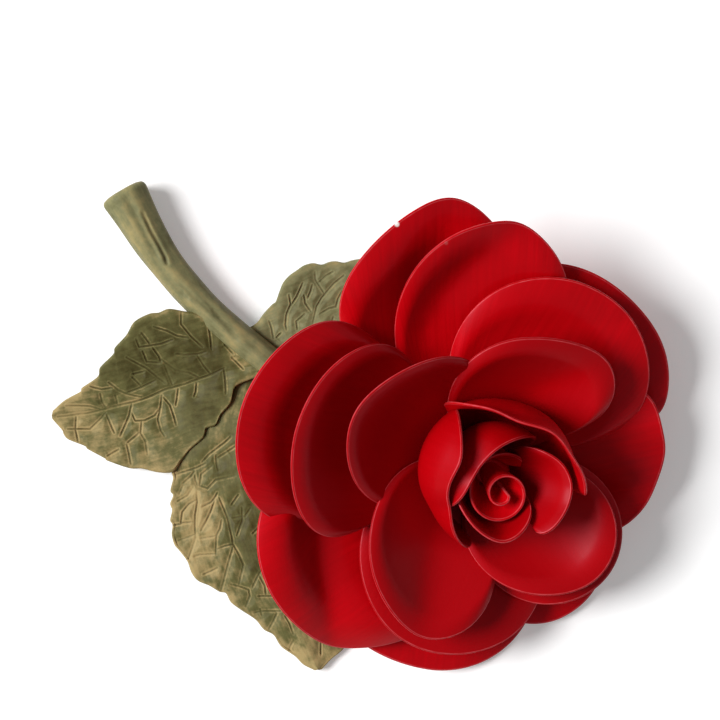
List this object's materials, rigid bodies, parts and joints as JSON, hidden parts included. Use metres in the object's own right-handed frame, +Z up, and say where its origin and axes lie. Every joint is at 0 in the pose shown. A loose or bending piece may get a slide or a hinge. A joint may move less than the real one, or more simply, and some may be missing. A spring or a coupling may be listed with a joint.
{
  "type": "porcelain rose",
  "caption": "Porcelain rose lying on a table: an open red flower of separate luted petals round a rolled bud, on a short green stem with veined serrated leaves.",
  "frame": {"origin": "middle of the flat foot ground on the receptacle under the flower, on the table", "axes": "+Z up from the table; +X along the rose's length, from the leaves towards the flower's open side; +Y towards the cut end of the stem"},
  "size_m": [0.1868, 0.1493, 0.0599],
  "materials": {
    "red_glaze": "deep red satin glaze over porcelain, paler along the rims",
    "green_glaze": "olive green satin glaze with tan dry-brushed ridges and dark incised lines"
  },
  "bodies": {
    "root": {"flower_core": "red_glaze", "bud_spiral": "red_glaze", "bud_petal_wrap": "red_glaze", "bud_petal_right": "red_glaze", "bud_petal_front": "red_glaze", "bud_petal_left": "red_glaze", "bud_petal_back": "red_glaze", "petal_inner_front_right": "red_glaze", "petal_inner_front": "red_glaze", "petal_inner_right": "red_glaze", "petal_inner_left": "red_glaze", "petal_middle_front_right": "red_glaze", "petal_middle_front": "red_glaze", "petal_middle_left": "red_glaze", "petal_middle_right": "red_glaze", "petal_middle_back": "red_glaze", "petal_outer_left": "red_glaze", "petal_outer_right": "red_glaze", "petal_outer_front_left": "red_glaze", "petal_outer_back": "red_glaze", "petal_outer_front_right": "red_glaze", "petal_outer_right_back": "red_glaze", "petal_outer_front": "red_glaze", "receptacle": "green_glaze", "stem": "green_glaze", "leaf_lower": "green_glaze", "leaf_left": "green_glaze", "leaf_upper": "green_glaze"}
  },
  "joints": []
}
